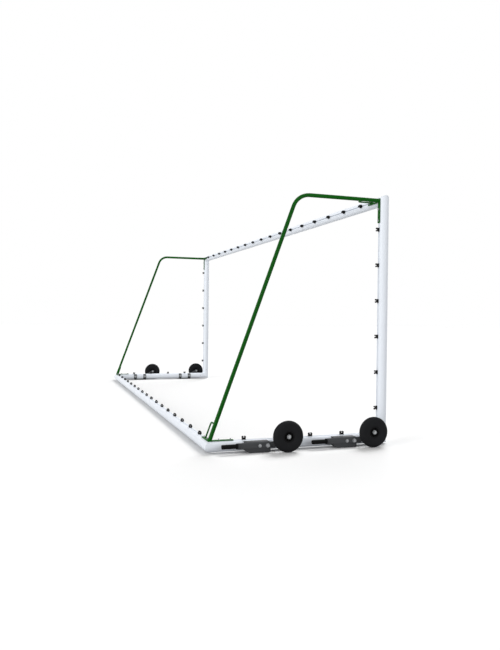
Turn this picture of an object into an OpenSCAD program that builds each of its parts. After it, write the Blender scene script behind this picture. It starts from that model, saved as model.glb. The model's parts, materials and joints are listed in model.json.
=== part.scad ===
// Full-size portable football goal: a frame of round grooved aluminium profile with mitred
// corners, two steel net bows, net clips in the groove and four lever-operated lifting wheels.
// +X runs across the goal, the mouth faces -Y, +Z is up and the ground is z = 0. The goal stands
// on the feet of its four wheel brackets, which hold the ground bars a little off the ground.

/* [Goal] */
// Clear width between the posts
inner_w = 7320; // [3000:10:7500]
// Clear height from the underside of the ground bars to the crossbar
inner_h = 2440; // [1800:10:2600]
// Depth on the ground, from the post axis to the rear bar axis
ground_depth = 1824; // [1700:2:2200]
// Gap between the ground bars and the ground
ground_gap = 12; // [9:1:16]

/* [Profile] */
// Diameter of the round profile
profile_d = 104; // [100:1:112]
// Wall thickness of the profile
profile_wall = 3; // [2.5:0.1:4]
// Width of the flat land that the groove is cut in
land_w = 34; // [32:1:40]
// Width of the groove's mouth
groove_mouth = 9; // [8.6:0.1:12]
// Width of the groove behind its lips
groove_w = 18; // [17.6:0.1:22]
// Depth of the groove behind its lips
groove_d = 8; // [6:0.5:10]
// Thickness of the groove's lips
groove_lip = 4; // [3:0.5:5]

/* [Corner joints] */
// Length of each leg of a corner insert, from the corner axis
insert_len = 200; // [150:5:240]
// Diameter of the corner screws
screw_d = 10; // [8:1:12]
// Length of the corner screws
screw_len = 22; // [16:1:30]
// Distance of a corner screw from the corner axis
screw_at = 120; // [90:5:140]
// How far a corner screw lies below the surface
screw_sunk = 1.5; // [1:0.5:2]
// Hexagon socket of the corner screws, across flats
screw_socket_af = 5; // [4:0.5:5]
// Depth of that socket
screw_socket_h = 5; // [3:0.5:8]

/* [Ballast] */
// Diameter of the ballast bar in the rear ground bar
ballast_d = 60; // [40:1:74]
// Distance of the ballast's ends from the corner axis
ballast_end = 260; // [250:5:600]

/* [Net bows] */
// Outside diameter of the bow tube
bow_d = 36; // [30:1:40]
// Wall of the bow tube
bow_wall = 3; // [2:0.5:4]
// Depth of the bow at the top, from the post axis to the corner of the tube's axis
bow_top_depth = 956; // [700:2:1100]
// Radius of the bend, at the tube's axis
bow_bend_r = 180; // [100:5:260]
// How much the wall thins on each side in the bend
bow_bend_thin = 0.1; // [0.05:0.05:0.3]
// Thickness of the bow's end plates
plate_t = 6; // [4:0.5:8]
// Width of a plate's arms
plate_w = 40; // [34:1:50]
// Length of a plate's arms, from the corner axis
plate_arm = 230; // [222:1:260]
// Corner radius of a plate's ends
plate_corner_r = 5; // [2:0.5:10]
// Distance of the near hole from the corner axis
plate_hole_near = 90; // [80:1:110]
// Distance of the far hole from the corner axis
plate_hole_far = 205; // [190:1:210]
// Diameter of the bow's brace rods
rod_d = 12; // [10:1:14]
// Distance of a brace rod from the bow tube, axis to axis
rod_off = 150; // [135:1:165]
// Length of a brace rod beside the bow tube
rod_len = 160; // [120:5:220]
// Radius of a brace rod's bend, at its axis
rod_bend_r = 28; // [20:1:40]

/* [Bow bolts] */
// Shank diameter of the slot bolts
tbolt_d = 8; // [6:0.5:8]
// Head diameter of the slot bolts, inside the groove
tbolt_head_d = 17; // [14:0.5:17]
// Head height of the slot bolts
tbolt_head_h = 5; // [3:0.5:5]
// Washer diameter under the cap nut
tbolt_washer_d = 24; // [20:1:28]
// Washer thickness
tbolt_washer_t = 2; // [1.5:0.5:3]
// Cap nut, across flats
cap_nut_af = 15; // [13:1:17]
// Height of the cap nut's hexagon
cap_nut_h = 6; // [5:0.5:8]

/* [Net clips] */
// Clips along the crossbar and along the rear bar
bar_clip_count = 17; // [5:1:25]
// Distance of the end clips from the inside of the posts
bar_clip_end = 340; // [300:5:420]
// Clips on each post
post_clip_count = 6; // [3:1:8]
// Height of the lowest post clip above the underside of the ground bars
post_clip_low = 361; // [300:1:450]
// Distance of the highest post clip below the crossbar
post_clip_top = 247; // [240:1:320]
// Clips on each side bar
side_clip_count = 4; // [2:1:6]
// Distance of the first side clip from the post axis
side_clip_front = 449; // [400:1:480]
// Distance of the last side clip from the rear bar axis
side_clip_rear = 338; // [300:1:420]
// Length of a clip's pad along the bar
clip_pad_l = 34; // [30:1:40]
// Width of a clip's pad across the bar
clip_pad_w = 30; // [20:1:32]
// Thickness of a clip's pad
clip_pad_t = 5; // [4:0.5:7]
// Outside diameter of a clip's hooks
hook_d = 29; // [26:1:36]
// Inside diameter of a clip's hooks
hook_bore = 13; // [10:0.5:16]
// Thickness of a hook along the bar
hook_t = 12; // [8:0.5:13]
// Distance between the feet of a clip's two hooks, along the bar
hook_pitch = 16; // [14:1:20]
// Lean of each hook away from the other
hook_lean = 14; // [0:1:16]
// Angle of the gap in a hook
hook_gap = 75; // [50:5:90]
// Length of a clip's foot inside the groove
clip_foot_l = 20; // [14:1:28]
// Thickness of a clip's foot
clip_foot_t = 4; // [3:0.5:5]

/* [Wheel brackets] */
// Free length between a front grip and the rear tyre behind it
unit_gap = 121; // [60:1:140]
// How far the two wheel units of a side lie in front of the middle of its bar
unit_forward = 92; // [60:1:100]
// Height of the lever pivots above the bar axis
pivot_up = 5; // [2:0.5:8]
// Depth of a bracket, from the side of the bar outwards
bracket_depth = 50; // [46:1:70]
// Height of a bracket above the ground
bracket_h = 107; // [102:1:110]
// Length of a bracket in front of its pivot
bracket_front = 20; // [18:1:26]
// Length of a bracket behind its pivot
bracket_rear = 216; // [212:1:240]
// Sheet thickness of a bracket
bracket_t = 6; // [5:0.5:7]
// Chamfer at the top front corner of a bracket
bracket_chamfer = 14; // [8:1:18]
// Chamfer at the lower rear corner of a bracket
bracket_heel = 24; // [16:1:34]
// Distance of a bracket's open side from the bar axis
bracket_in = 30; // [28:1:40]
// Height of a bracket's foot under the bar
foot_h = 16; // [15:0.5:18]
// How far that foot reaches past the bar axis
foot_past = 20; // [16:1:24]
// Distance of the rear bracket bolt behind the pivot
bracket_bolt_back = 187; // [180:1:190]
// Diameter of the rear bracket bolt
bracket_bolt_d = 16; // [12:1:16]
// Countersunk head of the rear bracket bolt
bracket_bolt_head_d = 27; // [26:0.5:27]
// Width of a clamp saddle along the bar
saddle_w = 55; // [40:1:60]
// Thickness of a clamp saddle
saddle_t = 5; // [4:0.5:8]
// Angle that a clamp saddle covers above and below the bar axis
saddle_half = 58; // [45:1:60]

/* [Levers] */
// Thickness of a lever
lever_t = 12; // [8:1:15]
// Height of a lever
lever_h = 51; // [48:1:58]
// Height of a lever's middle above its pivot
lever_up = 5; // [0:0.5:8]
// Length of a lever behind its pivot
lever_rear = 300; // [280:1:340]
// Distance of a lever's knee in front of its pivot
lever_knee = 60; // [45:1:80]
// Distance of the wheel axle in front of the pivot
axle_reach = 187; // [180:1:200]
// Diameter of the lever's end round the axle
axle_boss_d = 60; // [50:1:70]
// Lift of a lever from its rest to its upper stop
lift_angle = 12; // [6:0.5:12]
// Pivot bolt diameter
pivot_d = 20; // [16:1:20]
// Distance of the lock bolt behind the pivot
lock_back = 79; // [70:1:79]
// Lock bolt diameter
lock_d = 12; // [10:1:12]
// Diameter of the handle rod under the grip
handle_d = 24; // [20:1:26]
// Length of the handle rod's weld on the lever
handle_weld = 22; // [18:1:50]
// Length of a grip with its flange
grip_len = 156; // [120:1:175]
// Diameter of a grip between its ribs
grip_d = 33; // [32:1:40]
// Height of a grip's ribs
grip_rib_h = 1; // [0.5:0.5:3]
// Ribs on a grip
grip_rib_count = 10; // [4:1:12]
// Width of a rib
grip_rib_w = 7; // [4:0.5:7]
// Diameter of a grip's flange
grip_flange_d = 50; // [46:1:60]
// Thickness of a grip's flange
grip_flange_t = 9; // [6:0.5:12]
// Thickness of a grip's closed end
grip_end_t = 8; // [5:0.5:12]

/* [Wheels] */
// Diameter of a tyre
tyre_d = 305; // [280:1:310]
// Width of a tyre
tyre_w = 84; // [76:1:95]
// Radius of a tyre's shoulders
tyre_shoulder = 36; // [20:1:37]
// Radius of a tyre's beads beside the rim
tyre_bead = 22; // [12:1:24]
// Diameter of the rim that the tyre sits on
rim_d = 112; // [108:1:130]
// Thickness of the rim
rim_wall = 6; // [5:0.5:8]
// How far the rim lies inside the tyre's sides
rim_inset = 9; // [6:0.5:14]
// Diameter of the recess round the axle
recess_d = 92; // [84:1:94]
// Wall round the recess
recess_wall = 5; // [4:0.5:6]
// Diameter of the hub's boss
boss_d = 50; // [44:1:56]
// How far the boss lies inside the tyre's outer side
boss_inset = 18; // [16:0.5:28]
// Thickness of the hub's disc
disc_t = 10; // [6:0.5:14]
// Ribs in the recess
hub_rib_count = 8; // [4:1:10]
// Thickness of a rib
hub_rib_t = 6; // [4:0.5:8]
// Axle diameter
axle_d = 20; // [16:1:20]
// Height of a wheel above the ground at rest
wheel_lift = 1; // [0.5:0.5:5]
// Distance of a tyre from its lever
wheel_gap = 6; // [4:0.5:12]

/* [Fasteners] */
// Hexagon of the pivot and axle bolts, across flats
big_hex_af = 30; // [28:1:32]
// Height of that hexagon
big_hex_h = 14; // [10:0.5:16]
// Washer of the pivot and axle bolts
big_washer_d = 42; // [36:1:44]
// Thickness of that washer
big_washer_t = 3; // [2:0.5:4]
// Hexagon of the lock bolts, across flats
lock_hex_af = 22; // [19:1:24]
// Height of a lock bolt's head
lock_hex_h = 9; // [7:0.5:12]
// Washer of the lock bolts
lock_washer_d = 34; // [28:1:36]
// Thickness of that washer
lock_washer_t = 2.5; // [2:0.5:4]
// Nut of the lock bolts, across flats
lock_nut_af = 19; // [17:1:19]
// Height of the nuts behind brackets and levers
back_nut_h = 10; // [8:0.5:12]

/* [Clearances] */
// Between an insert and the profile
insert_fit = 0.2; // [0.1:0.05:0.4]
// Between a bolt and its drilled hole
hole_fit = 0.2; // [0.1:0.05:0.4]
// Between a bracket or saddle and the round bar
seat_fit = 0.2; // [0.1:0.05:0.3]
// Between a foot or bolt head and the groove's lips
groove_fit = 0.2; // [0.1:0.05:0.3]
// Radial running clearance of the pivots and axles
run_fit = 0.05; // [0.02:0.01:0.08]
// Side play of the levers and wheels
side_play = 0.3; // [0.2:0.05:0.5]
// Between the lock bolt and its slot
slot_fit = 0.5; // [0.4:0.1:0.8]
// How much further the slot's drilled ends reach
slot_end_fit = 0.3; // [0.2:0.1:0.6]
// Between a tyre and its rim, and a grip and its rod
push_fit = 0.1; // [0.05:0.05:0.2]

/* [Hidden] */
$fn = 64;
R = profile_d / 2;
axis_x = inner_w / 2 + R;
bar_z = ground_gap + R;
axis_top = ground_gap + inner_h + R;
front_y = -ground_depth / 2;
rear_y = ground_depth / 2;
post_len = axis_top - bar_z;
bar_len = 2 * axis_x;
cavity_top = R - groove_lip - groove_d - profile_wall;
beyond = 1;

// Bow geometry in the plane of one side
bow_foot_z = bar_z + R + plate_t;
bow_lean = atan2(ground_depth - bow_top_depth, axis_top - bow_foot_z);
bow_turn = 90 - bow_lean;
bow_tangent = bow_bend_r * tan(bow_turn / 2);
bend_lap = atan2(beyond, bow_bend_r);
bow_knee_y = front_y + bow_top_depth;
bow_leg_len = norm([ground_depth - bow_top_depth, axis_top - bow_foot_z]) - bow_tangent;

// Clip places along each bar, from the start of its axis
bar_clip_pitch = (inner_w - 2 * bar_clip_end) / (bar_clip_count - 1);
bar_clip_at = [for (i = [0:bar_clip_count - 1]) R + bar_clip_end + i * bar_clip_pitch];
post_clip_pitch = (inner_h - post_clip_low - post_clip_top) / (post_clip_count - 1);
post_clip_at = [for (i = [0:post_clip_count - 1]) post_clip_low - R + i * post_clip_pitch];
side_clip_pitch = (ground_depth - side_clip_front - side_clip_rear) / (side_clip_count - 1);
side_clip_at = [for (i = [0:side_clip_count - 1]) side_clip_front + i * side_clip_pitch];
hook_z = clip_pad_t + hook_d / 2 - 2;

// Stations of a wheel unit, outwards from the bar axis
web_x = R + bracket_depth;
lever_x0 = web_x + side_play;
lever_x1 = lever_x0 + lever_t;
lever_mid = lever_x0 + lever_t / 2;
tyre_x0 = lever_x1 + wheel_gap;
saddle_x = R + seat_fit + saddle_t;
pivot_z = bar_z + pivot_up;
handle_z = pivot_z + lever_up;
axle_z = tyre_d / 2 + wheel_lift;
axle_rise = axle_z - pivot_z;
unit_pitch = lever_rear + side_play + grip_len + unit_gap + tyre_d / 2 + axle_reach;
front_pivot = (ground_depth - unit_pitch) / 2 - unit_forward;
pivot_back = [front_pivot, front_pivot + unit_pitch];
boss_w0 = side_play - wheel_gap;
boss_w1 = tyre_w - boss_inset;
rim_r = rim_d / 2;
front = 0;
rear = 1;

// Finishes
module white_coat() color([0.93, 0.94, 0.96]) children();
module green_coat() color([0.06, 0.3, 0.09]) children();
module dark_steel() color([0.25, 0.26, 0.27]) children();
module zinc() color([0.65, 0.66, 0.67]) children();
module black_moulding() color([0.08, 0.08, 0.08]) children();
module cast_alloy() color([0.7, 0.71, 0.72]) children();

// Left pieces are drawn at -X and right pieces are their mirror images
module on_side(right) {
  if (right) mirror([1, 0, 0]) children();
  else children();
}

// Frames of the bars: the axis runs along local Z from corner to corner, the groove faces local +Y
module at_crossbar() translate([-axis_x, front_y, axis_top]) rotate([0, 90, 0]) children();
module at_post() translate([-axis_x, front_y, bar_z]) children();
module at_side_bar() {
  translate([-axis_x, front_y, bar_z]) rotate([-90, 0, 0]) rotate([0, 0, 180]) children();
}
module at_rear_bar() translate([-axis_x, rear_y, bar_z]) rotate([90, 0, 90]) children();

// Inside direction of each mitre, as an angle about the bar's own axis
mitre_crossbar = 0;
mitre_post_foot = 90;
mitre_post_head = 0;
mitre_side_front = 90;
mitre_side_rear = 180;
mitre_rear_bar = 180;

// What a mitre takes away at the start and at the end of a bar
module mitre_start(inside) {
  size = 4 * profile_d;
  rotate([0, 0, inside]) rotate([0, -45, 0]) translate([-size / 2, -size / 2, -size]) cube(size);
}

module mitre_end(len, inside) {
  size = 4 * profile_d;
  translate([0, 0, len]) rotate([0, 0, inside]) rotate([0, 45, 0])
    translate([-size / 2, -size / 2, 0]) cube(size);
}

// Round profile with a flat land and an undercut groove on its +Y side
module profile_section() {
  difference() {
    union() {
      circle(d = profile_d);
      translate([-land_w / 2, 0]) square([land_w, R]);
    }
    difference() {
      circle(d = profile_d - 2 * profile_wall);
      translate([-groove_w / 2 - profile_wall, cavity_top]) square([groove_w + 2 * profile_wall, R]);
    }
    translate([-groove_mouth / 2, R - groove_lip - beyond]) square([groove_mouth, groove_lip + 2 * beyond]);
    translate([-groove_w / 2, R - groove_lip - groove_d]) square([groove_w, groove_d]);
  }
}

module mitred_bar(len, start, end) {
  difference() {
    translate([0, 0, -R - beyond]) linear_extrude(len + 2 * R + 2 * beyond) profile_section();
    mitre_start(start);
    mitre_end(len, end);
  }
}

// A radial place on a bar, at a distance along it and an angle round it
module radial(along, angle) translate([0, 0, along]) rotate([0, 0, angle]) rotate([0, 90, 0]) children();

module screw_hole(along, angle) {
  radial(along, angle) translate([0, 0, R - screw_sunk - screw_len])
    cylinder(d = screw_d + 2 * hole_fit, h = screw_len + 2 * screw_sunk);
}

module screw(along, angle) {
  radial(along, angle) translate([0, 0, R - screw_sunk - screw_len]) difference() {
    cylinder(d = screw_d, h = screw_len);
    translate([0, 0, screw_len - screw_socket_h])
      cylinder(d = screw_socket_af / cos(30), h = screw_socket_h + beyond, $fn = 6);
  }
}

// Insert leg: the profile's cavity less a clearance, flat below the groove
module insert_section() {
  difference() {
    circle(d = profile_d - 2 * profile_wall - 2 * insert_fit);
    translate([-R, cavity_top - insert_fit]) square([profile_d, R]);
  }
}

module insert_start(inside, screw_angle) {
  difference() {
    translate([0, 0, -R]) linear_extrude(R + insert_len) insert_section();
    mitre_start(inside);
    screw_hole(screw_at, screw_angle);
  }
}

module insert_end(len, inside, screw_angle) {
  difference() {
    translate([0, 0, len - insert_len]) linear_extrude(R + insert_len) insert_section();
    mitre_end(len, inside);
    screw_hole(len - screw_at, screw_angle);
  }
}

// Main frame
module crossbar() white_coat() at_crossbar() difference() {
  mitred_bar(bar_len, mitre_crossbar, mitre_crossbar);
  screw_hole(screw_at, mitre_crossbar);
  screw_hole(bar_len - screw_at, mitre_crossbar);
}

module post(right) white_coat() on_side(right) at_post() difference() {
  mitred_bar(post_len, mitre_post_foot, mitre_post_head);
  screw_hole(screw_at, mitre_post_head);
  screw_hole(post_len - screw_at, mitre_post_head);
}

module side_bar(right) white_coat() on_side(right) difference() {
  at_side_bar() difference() {
    mitred_bar(ground_depth, mitre_side_front, mitre_side_rear);
    screw_hole(screw_at, mitre_side_rear);
    screw_hole(ground_depth - screw_at, mitre_side_rear);
  }
  for (end = [front, rear]) left_unit(end) {
    bolt_hole(pivot_d, 0);
    bolt_hole(bracket_bolt_d, bracket_bolt_back);
  }
}

module rear_bar() white_coat() at_rear_bar() difference() {
  mitred_bar(bar_len, mitre_rear_bar, mitre_rear_bar);
  screw_hole(screw_at, mitre_rear_bar);
  screw_hole(bar_len - screw_at, mitre_rear_bar);
}

// Corner inserts and their screws
module top_corner_inserts() cast_alloy() for (right = [false, true]) on_side(right) {
  union() {
    at_post() insert_end(post_len, mitre_post_head, mitre_post_head);
    at_crossbar() insert_start(mitre_crossbar, mitre_crossbar);
  }
}

module front_corner_inserts() cast_alloy() for (right = [false, true]) on_side(right) {
  union() {
    at_post() insert_start(mitre_post_foot, mitre_post_head);
    at_side_bar() insert_start(mitre_side_front, mitre_side_rear);
  }
}

module rear_corner_inserts() cast_alloy() for (right = [false, true]) on_side(right) {
  union() {
    at_side_bar() insert_end(ground_depth, mitre_side_rear, mitre_side_rear);
    at_rear_bar() insert_start(mitre_rear_bar, mitre_rear_bar);
  }
}

module corner_screws() zinc() for (right = [false, true]) on_side(right) {
  at_crossbar() screw(screw_at, mitre_crossbar);
  at_post() screw(screw_at, mitre_post_head);
  at_post() screw(post_len - screw_at, mitre_post_head);
  at_side_bar() screw(screw_at, mitre_side_rear);
  at_side_bar() screw(ground_depth - screw_at, mitre_side_rear);
  at_rear_bar() screw(screw_at, mitre_rear_bar);
}

module ballast_bar() dark_steel() at_rear_bar() {
  translate([0, -(R - profile_wall - insert_fit - ballast_d / 2), ballast_end])
    cylinder(d = ballast_d, h = bar_len - 2 * ballast_end);
}

// Net bow: a level top tube, one bend and a leg that slants down to the rear corner
module tube_section(thin = 0) {
  difference() {
    circle(d = bow_d - 2 * thin);
    circle(d = bow_d - 2 * bow_wall + 2 * thin);
  }
}

module bow_tube(right) green_coat() on_side(right) difference() {
  translate([-axis_x, bow_knee_y - bow_tangent, axis_top - bow_bend_r]) rotate([90, 0, 90]) union() {
    translate([0, bow_bend_r, 0]) rotate([0, -90, 0])
      linear_extrude(bow_top_depth - bow_tangent - R - plate_t) tube_section();
    rotate(90 - bow_turn - bend_lap) rotate_extrude(angle = bow_turn + 2 * bend_lap)
      translate([bow_bend_r, 0]) tube_section(bow_bend_thin);
    rotate(-bow_turn) translate([0, bow_bend_r, 0]) rotate([0, 90, 0])
      linear_extrude(bow_leg_len + bow_d) tube_section();
  }
  translate([-axis_x - bow_d, rear_y - 2 * bow_d, bow_foot_z - 2 * bow_d])
    cube([2 * bow_d, 4 * bow_d, 2 * bow_d]);
}

// End plates: the corner is at the origin, the arms run along local X and local Y
module at_top_plate() translate([-axis_x, front_y + R, axis_top]) rotate([-90, 0, 0]) children();
module at_foot_plate() translate([-axis_x, rear_y, bar_z + R]) mirror([0, 1, 0]) children();

module round_bar_2d(size) {
  r = plate_corner_r;
  translate([0, r]) square([size[0], size[1] - 2 * r]);
  translate([r, 0]) square([size[0] - 2 * r, size[1]]);
  for (x = [r, size[0] - r], y = [r, size[1] - r]) translate([x, y]) circle(r = r);
}

module each_plate_hole() {
  for (at = [plate_hole_near, plate_hole_far]) {
    translate([at, 0]) children();
    translate([0, at]) children();
  }
}

module end_plate() {
  linear_extrude(plate_t) difference() {
    translate([-plate_w / 2, -plate_w / 2]) {
      round_bar_2d([plate_arm + plate_w / 2, plate_w]);
      round_bar_2d([plate_w, plate_arm + plate_w / 2]);
    }
    each_plate_hole() circle(d = tbolt_d + 2 * hole_fit);
  }
}

module bow_top_plate(right) green_coat() on_side(right) at_top_plate() end_plate();
module bow_foot_plate(right) green_coat() on_side(right) at_foot_plate() end_plate();

// Brace rod: it stands on the plate beside the bow tube, bends and ends on the tube
module brace(foot) {
  difference() {
    union() {
      translate([rod_off, 0, -foot]) cylinder(d = rod_d, h = rod_len - rod_bend_r + foot);
      translate([rod_off - rod_bend_r, 0, rod_len - rod_bend_r]) rotate([90, 0, 0])
        rotate_extrude(angle = 90) translate([rod_bend_r, 0]) circle(d = rod_d);
      translate([0, 0, rod_len]) rotate([0, 90, 0]) cylinder(d = rod_d, h = rod_off - rod_bend_r);
    }
    translate([0, 0, rod_len - 2 * rod_d]) cylinder(d = bow_d, h = 4 * rod_d);
  }
}

module bow_braces(right) green_coat() on_side(right) {
  at_top_plate() translate([0, 0, plate_t]) brace(0);
  difference() {
    translate([-axis_x, rear_y, bow_foot_z]) rotate([bow_lean, 0, 0]) brace(rod_d);
    translate([-axis_x, rear_y - rod_off, bow_foot_z - 2 * rod_d])
      cube([2 * rod_off, 2 * rod_off, 2 * rod_d]);
  }
}

// Slot bolt with its washer and cap nut, standing on the land of the groove
module slot_bolt() {
  nut_z = plate_t + tbolt_washer_t;
  translate([0, 0, -groove_lip - groove_fit - tbolt_head_h]) cylinder(d = tbolt_head_d, h = tbolt_head_h);
  translate([0, 0, -groove_lip - groove_fit]) cylinder(d = tbolt_d, h = nut_z + groove_lip + groove_fit);
  translate([0, 0, plate_t]) cylinder(d = tbolt_washer_d, h = tbolt_washer_t);
  translate([0, 0, nut_z]) cylinder(d = cap_nut_af / cos(30), h = cap_nut_h, $fn = 6);
  translate([0, 0, nut_z + cap_nut_h]) intersection() {
    sphere(d = cap_nut_af);
    translate([-cap_nut_af, -cap_nut_af, 0]) cube(2 * cap_nut_af);
  }
}

module bow_bolts() zinc() for (right = [false, true]) on_side(right) {
  at_top_plate() each_plate_hole() slot_bolt();
  at_foot_plate() each_plate_hole() slot_bolt();
}

// Net clip: a foot in the groove, a pad on the land and two hooks that open opposite ways
module hook(way) {
  linear_extrude(hook_t, center = true) difference() {
    circle(d = hook_d);
    circle(d = hook_bore);
    mirror([way < 0 ? 1 : 0, 0]) polygon([
      [0, 0], [hook_d, 0], [hook_d, hook_d], [hook_d * cos(hook_gap), hook_d * sin(hook_gap)]
    ]);
  }
}

module clip() {
  neck_w = groove_mouth - 2 * groove_fit;
  foot_w = groove_w - 2 * groove_fit;
  foot_z = -groove_lip - groove_fit - clip_foot_t;
  translate([-clip_foot_l / 2, -foot_w / 2, foot_z]) cube([clip_foot_l, foot_w, clip_foot_t]);
  translate([-clip_foot_l / 2, -neck_w / 2, foot_z]) cube([clip_foot_l, neck_w, clip_pad_t - foot_z]);
  translate([-clip_pad_l / 2, -clip_pad_w / 2, 0]) cube([clip_pad_l, clip_pad_w, clip_pad_t]);
  for (way = [-1, 1])
    translate([way * hook_pitch / 2, 0, 0]) rotate([0, way * hook_lean, 0])
      translate([0, 0, hook_z]) rotate([90, 0, 90]) hook(way);
}

module clips(places) {
  black_moulding() for (at = places) translate([0, R, at]) rotate([0, -90, -90]) clip();
}

// Wheel units are drawn on the left: X is negated outwards from the bar axis, Y runs back from the pivot
module left_unit(end) translate([-axis_x, front_y + pivot_back[end], 0]) mirror([1, 0, 0]) children();
module each_unit() for (right = [false, true], end = [front, rear]) on_side(right) left_unit(end) children();

// Local X and Y of a flat shape become the unit's Y and Z, and its thickness runs outwards
module upright() rotate([90, 0, 90]) children();

module rod_x(x0, x1, d, y, z, sides = 64) {
  translate([x0, y, z]) rotate([0, 90, 0]) cylinder(d = d, h = x1 - x0, $fn = sides);
}

module hex_x(x0, x1, af, y, z) rod_x(x0, x1, af / cos(30), y, z, 6);

module bolt_hole(d, y) rod_x(-profile_d, profile_d, d + 2 * hole_fit, y, pivot_z);

// Folded bracket: a box of sheet, open towards the bar, with a foot that cradles the bar
module bracket_outline(inset) {
  run = bracket_chamfer + inset * tan(22.5);
  heel = bracket_heel + inset * tan(22.5);
  y0 = -bracket_front + inset;
  y1 = bracket_rear - inset;
  z1 = bracket_h - inset;
  polygon([
    [y0, inset], [bracket_rear - heel, inset], [y1, heel], [y1, z1],
    [-bracket_front + run, z1], [y0, bracket_h - run]
  ]);
}

module lock_slot() {
  slot_w = lock_d + 2 * slot_fit;
  far = 2 * lock_back;
  translate([0, pivot_z]) {
    intersection() {
      difference() {
        circle(r = lock_back + slot_w / 2);
        circle(r = lock_back - slot_w / 2);
      }
      polygon([[0, 0], [far, 0], [far * cos(lift_angle), far * sin(lift_angle)]]);
    }
    for (a = [0, lift_angle]) rotate(a) translate([lock_back, 0]) circle(d = slot_w + 2 * slot_end_fit);
  }
}

module countersunk(grow) {
  head_h = (bracket_bolt_head_d - bracket_bolt_d) / 2;
  translate([web_x - head_h, bracket_bolt_back, pivot_z]) rotate([0, 90, 0])
    cylinder(d1 = bracket_bolt_d + 2 * grow, d2 = bracket_bolt_head_d + 2 * grow, h = head_h);
}

module bracket_body() {
  difference() {
    translate([bracket_in, 0, 0]) upright() linear_extrude(web_x - bracket_in) bracket_outline(0);
    upright() linear_extrude(web_x - bracket_t) bracket_outline(bracket_t);
  }
  translate([-foot_past, -bracket_front, 0])
    cube([foot_past + bracket_in + bracket_t, bracket_front + bracket_rear - bracket_heel, foot_h]);
}

module bracket(right, end) dark_steel() on_side(right) left_unit(end) difference() {
  bracket_body();
  translate([0, -bracket_front - beyond, bar_z]) rotate([-90, 0, 0])
    cylinder(d = profile_d + 2 * seat_fit, h = bracket_front + bracket_rear + 2 * beyond);
  rod_x(R, web_x + beyond, pivot_d + 2 * hole_fit, 0, pivot_z);
  rod_x(R, web_x + beyond, bracket_bolt_d + 2 * hole_fit, bracket_bolt_back, pivot_z);
  countersunk(hole_fit);
  translate([web_x - bracket_t - beyond, 0, 0]) upright() linear_extrude(bracket_t + 2 * beyond) lock_slot();
}

// Clamp saddles hug the inner side of the bar, one behind each bracket bolt
module saddle(y) {
  translate([0, y + saddle_w / 2, bar_z]) rotate([90, 0, 0]) linear_extrude(saddle_w) intersection() {
    difference() {
      circle(r = saddle_x);
      circle(r = R + seat_fit);
    }
    polygon([[0, 0], 2 * R * [-1, tan(saddle_half)], 2 * R * [-1, -tan(saddle_half)]]);
  }
}

module clamp_saddles() dark_steel() each_unit() difference() {
  union() {
    saddle(0);
    saddle(bracket_bolt_back);
  }
  bolt_hole(pivot_d, 0);
  bolt_hole(bracket_bolt_d, bracket_bolt_back);
}

// Washer and nut on the inner side of a saddle
module inner_nut(y) {
  x1 = -saddle_x - side_play;
  rod_x(x1 - big_washer_t, x1, big_washer_d, y, pivot_z);
  hex_x(x1 - big_washer_t - back_nut_h, x1 - big_washer_t, big_hex_af, y, pivot_z);
}

module bracket_bolts() zinc() each_unit() union() {
  inner_nut(bracket_bolt_back);
  rod_x(-saddle_x - side_play, web_x - beyond, bracket_bolt_d, bracket_bolt_back, pivot_z);
  countersunk(0);
}

module pivot_bolts() zinc() each_unit() union() {
  x0 = lever_x1 + side_play;
  inner_nut(0);
  rod_x(-saddle_x - side_play, x0 + beyond, pivot_d, 0, pivot_z);
  rod_x(x0, x0 + big_washer_t, big_washer_d, 0, pivot_z);
  hex_x(x0 + big_washer_t, x0 + big_washer_t + big_hex_h, big_hex_af, 0, pivot_z);
}

// Cranked lever, with its pivot at the origin of the outline
module lever_outline() {
  run = axle_reach - lever_knee;
  rise = axle_rise - lever_up;
  translate([-lever_knee, lever_up - lever_h / 2]) square([lever_knee + lever_rear, lever_h]);
  translate([-lever_knee, lever_up]) {
    circle(d = lever_h);
    rotate(atan2(rise, -run)) translate([0, -lever_h / 2]) square([norm([run, rise]), lever_h]);
  }
  translate([-axle_reach, axle_rise]) circle(d = axle_boss_d);
}

module lever(right, end) dark_steel() on_side(right) left_unit(end) union() {
  translate([lever_x0, 0, pivot_z]) upright() linear_extrude(lever_t) difference() {
    lever_outline();
    circle(d = pivot_d + 2 * run_fit);
    translate([lock_back, 0]) circle(d = lock_d + 2 * hole_fit);
    translate([-axle_reach, axle_rise]) circle(d = axle_d + 2 * hole_fit);
  }
  translate([lever_mid, lever_rear - handle_weld, handle_z]) rotate([-90, 0, 0])
    cylinder(d = handle_d, h = handle_weld + grip_len - grip_end_t);
}

module grip_section() {
  bore_r = handle_d / 2 + push_fit;
  rib_run = grip_len - grip_flange_t - grip_end_t;
  rib_pitch = rib_run / grip_rib_count;
  translate([bore_r, 0]) square([grip_flange_d / 2 - bore_r, grip_flange_t]);
  translate([bore_r, 0]) square([grip_d / 2 - bore_r, grip_len]);
  translate([0, grip_len - grip_end_t]) square([grip_d / 2, grip_end_t]);
  for (i = [0:grip_rib_count - 1])
    translate([bore_r, grip_flange_t + (i + 0.5) * rib_pitch - grip_rib_w / 2])
      square([grip_d / 2 + grip_rib_h - bore_r, grip_rib_w]);
}

module grip(right, end) black_moulding() on_side(right) left_unit(end) {
  translate([lever_mid, lever_rear + side_play, handle_z]) rotate([-90, 0, 0])
    rotate_extrude() grip_section();
}

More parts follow.
